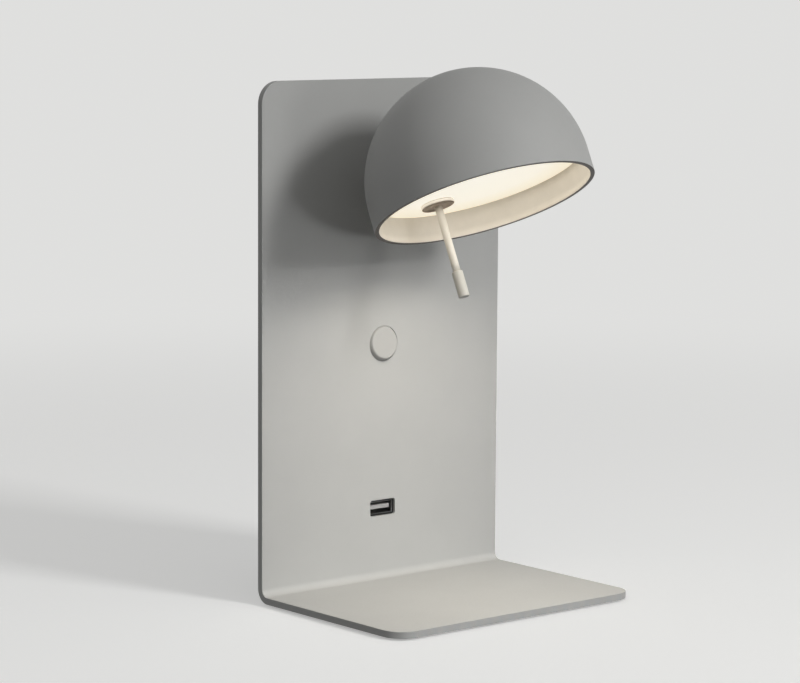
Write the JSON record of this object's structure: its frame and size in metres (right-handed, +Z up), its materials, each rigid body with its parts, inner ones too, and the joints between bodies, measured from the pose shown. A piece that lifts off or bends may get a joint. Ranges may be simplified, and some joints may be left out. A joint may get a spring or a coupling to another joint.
{
  "type": "wall lamp with shelf",
  "caption": "Wall reading lamp: bent plate with a shelf, dome head on a swivel and tilt joint with a stick handle, rocker button, USB socket, hidden wall box and bracket.",
  "frame": {"origin": "middle of the wall bracket's back face, on the wall, at the middle of its four screw holes", "axes": "+X to the right as seen from the room, +Y into the wall, +Z up"},
  "size_m": [0.14, 0.1422, 0.24],
  "materials": {
    "plate_paint": "matt powder coat, light warm grey",
    "button_paint": "matt powder coat, light warm grey",
    "shade_paint": "matt powder coat, mid grey, cream inside",
    "zinc_steel": "zinc plated",
    "dark_steel": "dark plated",
    "usb_metal": "bright plated",
    "brass_metal": "bright",
    "bare_aluminium": "cast, bare",
    "black_rubber": "matt",
    "black_plastic": "matt",
    "white_plastic": "matt",
    "grey_plastic": "matt",
    "board_green": "solder mask",
    "board_white": "white solder mask",
    "capacitor_sleeve": "shrink sleeve",
    "led_phosphor": "phosphor",
    "opal_diffuser": "opal, glows warm white",
    "collar_finish": "satin, grey brown under side",
    "stick_finish": "satin cream"
  },
  "bodies": {
    "frame": {"shelf_plate": "plate_paint", "rear_box": "plate_paint", "wall_bracket": "zinc_steel", "side_screws": "zinc_steel", "weld_studs": "zinc_steel", "stud_washers": "zinc_steel", "stud_nuts": "zinc_steel", "cable_grommet": "black_rubber", "led_driver": "white_plastic", "driver_screws": "zinc_steel", "terminal_block": "white_plastic", "terminal_screws": "brass_metal", "earth_stud": "brass_metal", "earth_nut": "brass_metal", "usb_shell": "usb_metal", "usb_tongue": "grey_plastic", "usb_contacts": "brass_metal", "usb_board": "board_green", "usb_capacitor": "capacitor_sleeve", "usb_chip": "black_plastic", "usb_bezel": "black_plastic", "usb_holder": "white_plastic", "usb_screws": "zinc_steel", "button_guide": "white_plastic", "guide_screws": "zinc_steel", "switch_body": "black_plastic", "switch_blades": "brass_metal", "spindle_bush": "dark_steel", "stop_pin": "zinc_steel"},
    "button": {"rocker_button": "button_paint", "switch_plunger": "white_plastic", "button_spring": "zinc_steel"},
    "swivel": {"swivel_fork": "dark_steel", "stop_washer": "zinc_steel", "wave_washer": "zinc_steel", "spindle_nut": "zinc_steel", "tilt_pin": "zinc_steel", "tilt_nut": "zinc_steel", "friction_washers": "black_plastic"},
    "head": {"tilt_lug": "dark_steel", "lug_screws": "zinc_steel", "shade_shell": "shade_paint", "head_carrier": "bare_aluminium", "carrier_screws": "zinc_steel", "led_board": "board_white", "board_screws": "zinc_steel", "led_chips": "led_phosphor", "diffuser": "opal_diffuser", "stick_collar": "collar_finish", "stick_rod": "stick_finish", "stick_knob": "stick_finish"}
  },
  "joints": [
    {"name": "head_swivel", "type": "hinge", "parent": "frame", "child": "swivel", "pos_m": [0, -0.028, 0.067], "axis": [0, 1, 0], "range_deg": [-160, 160]},
    {"name": "head_tilt", "type": "hinge", "parent": "swivel", "child": "head", "pos_m": [0, -0.036, 0.067], "axis": [1, 0, 0], "range_deg": [-30, 35]},
    {"name": "button_rock", "type": "hinge", "parent": "frame", "child": "button", "pos_m": [0, -0.024, -0.006], "axis": [1, 0, 0], "range_deg": [0, 12]}
  ]
}
